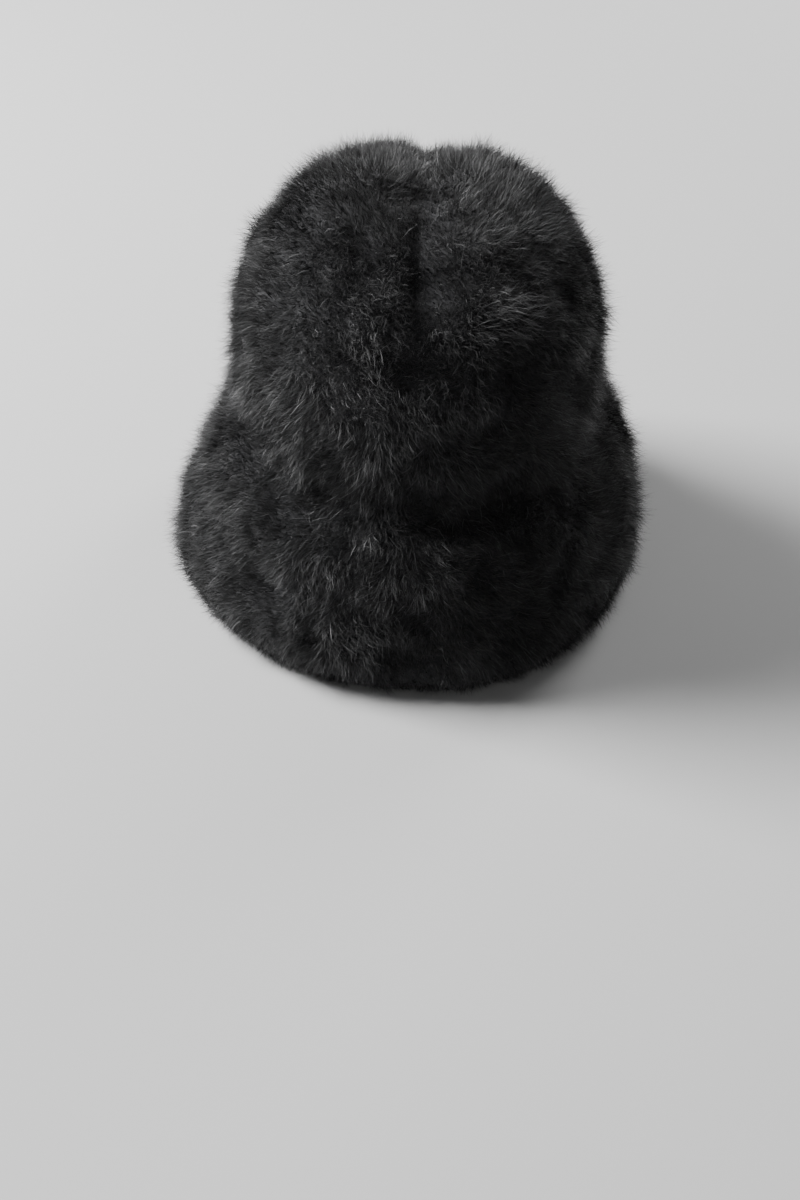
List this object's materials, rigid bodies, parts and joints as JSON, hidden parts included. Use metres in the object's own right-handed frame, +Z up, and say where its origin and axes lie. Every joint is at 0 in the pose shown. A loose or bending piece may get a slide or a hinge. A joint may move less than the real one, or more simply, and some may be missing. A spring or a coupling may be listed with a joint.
{
  "type": "angora cloche hat",
  "caption": "Soft black angora cloche hat: a deep creased crown of two sewn panels and a drooping bell-shaped brim.",
  "frame": {"origin": "middle of the hat's outline, on the surface that its rim stands on", "axes": "+Z up from the rim to the top of the crown, -Y towards the front, +X to the right as seen from the front; the crown's seam runs along Y"},
  "size_m": [0.2364, 0.2506, 0.2068],
  "materials": {
    "black_angora": "long soft rabbit-hair pile on a knitted ground, matt, with a faint grey sheen on single hairs"
  },
  "bodies": {
    "root": {"crown_left_panel": "black_angora", "crown_right_panel": "black_angora", "brim": "black_angora"}
  },
  "joints": []
}
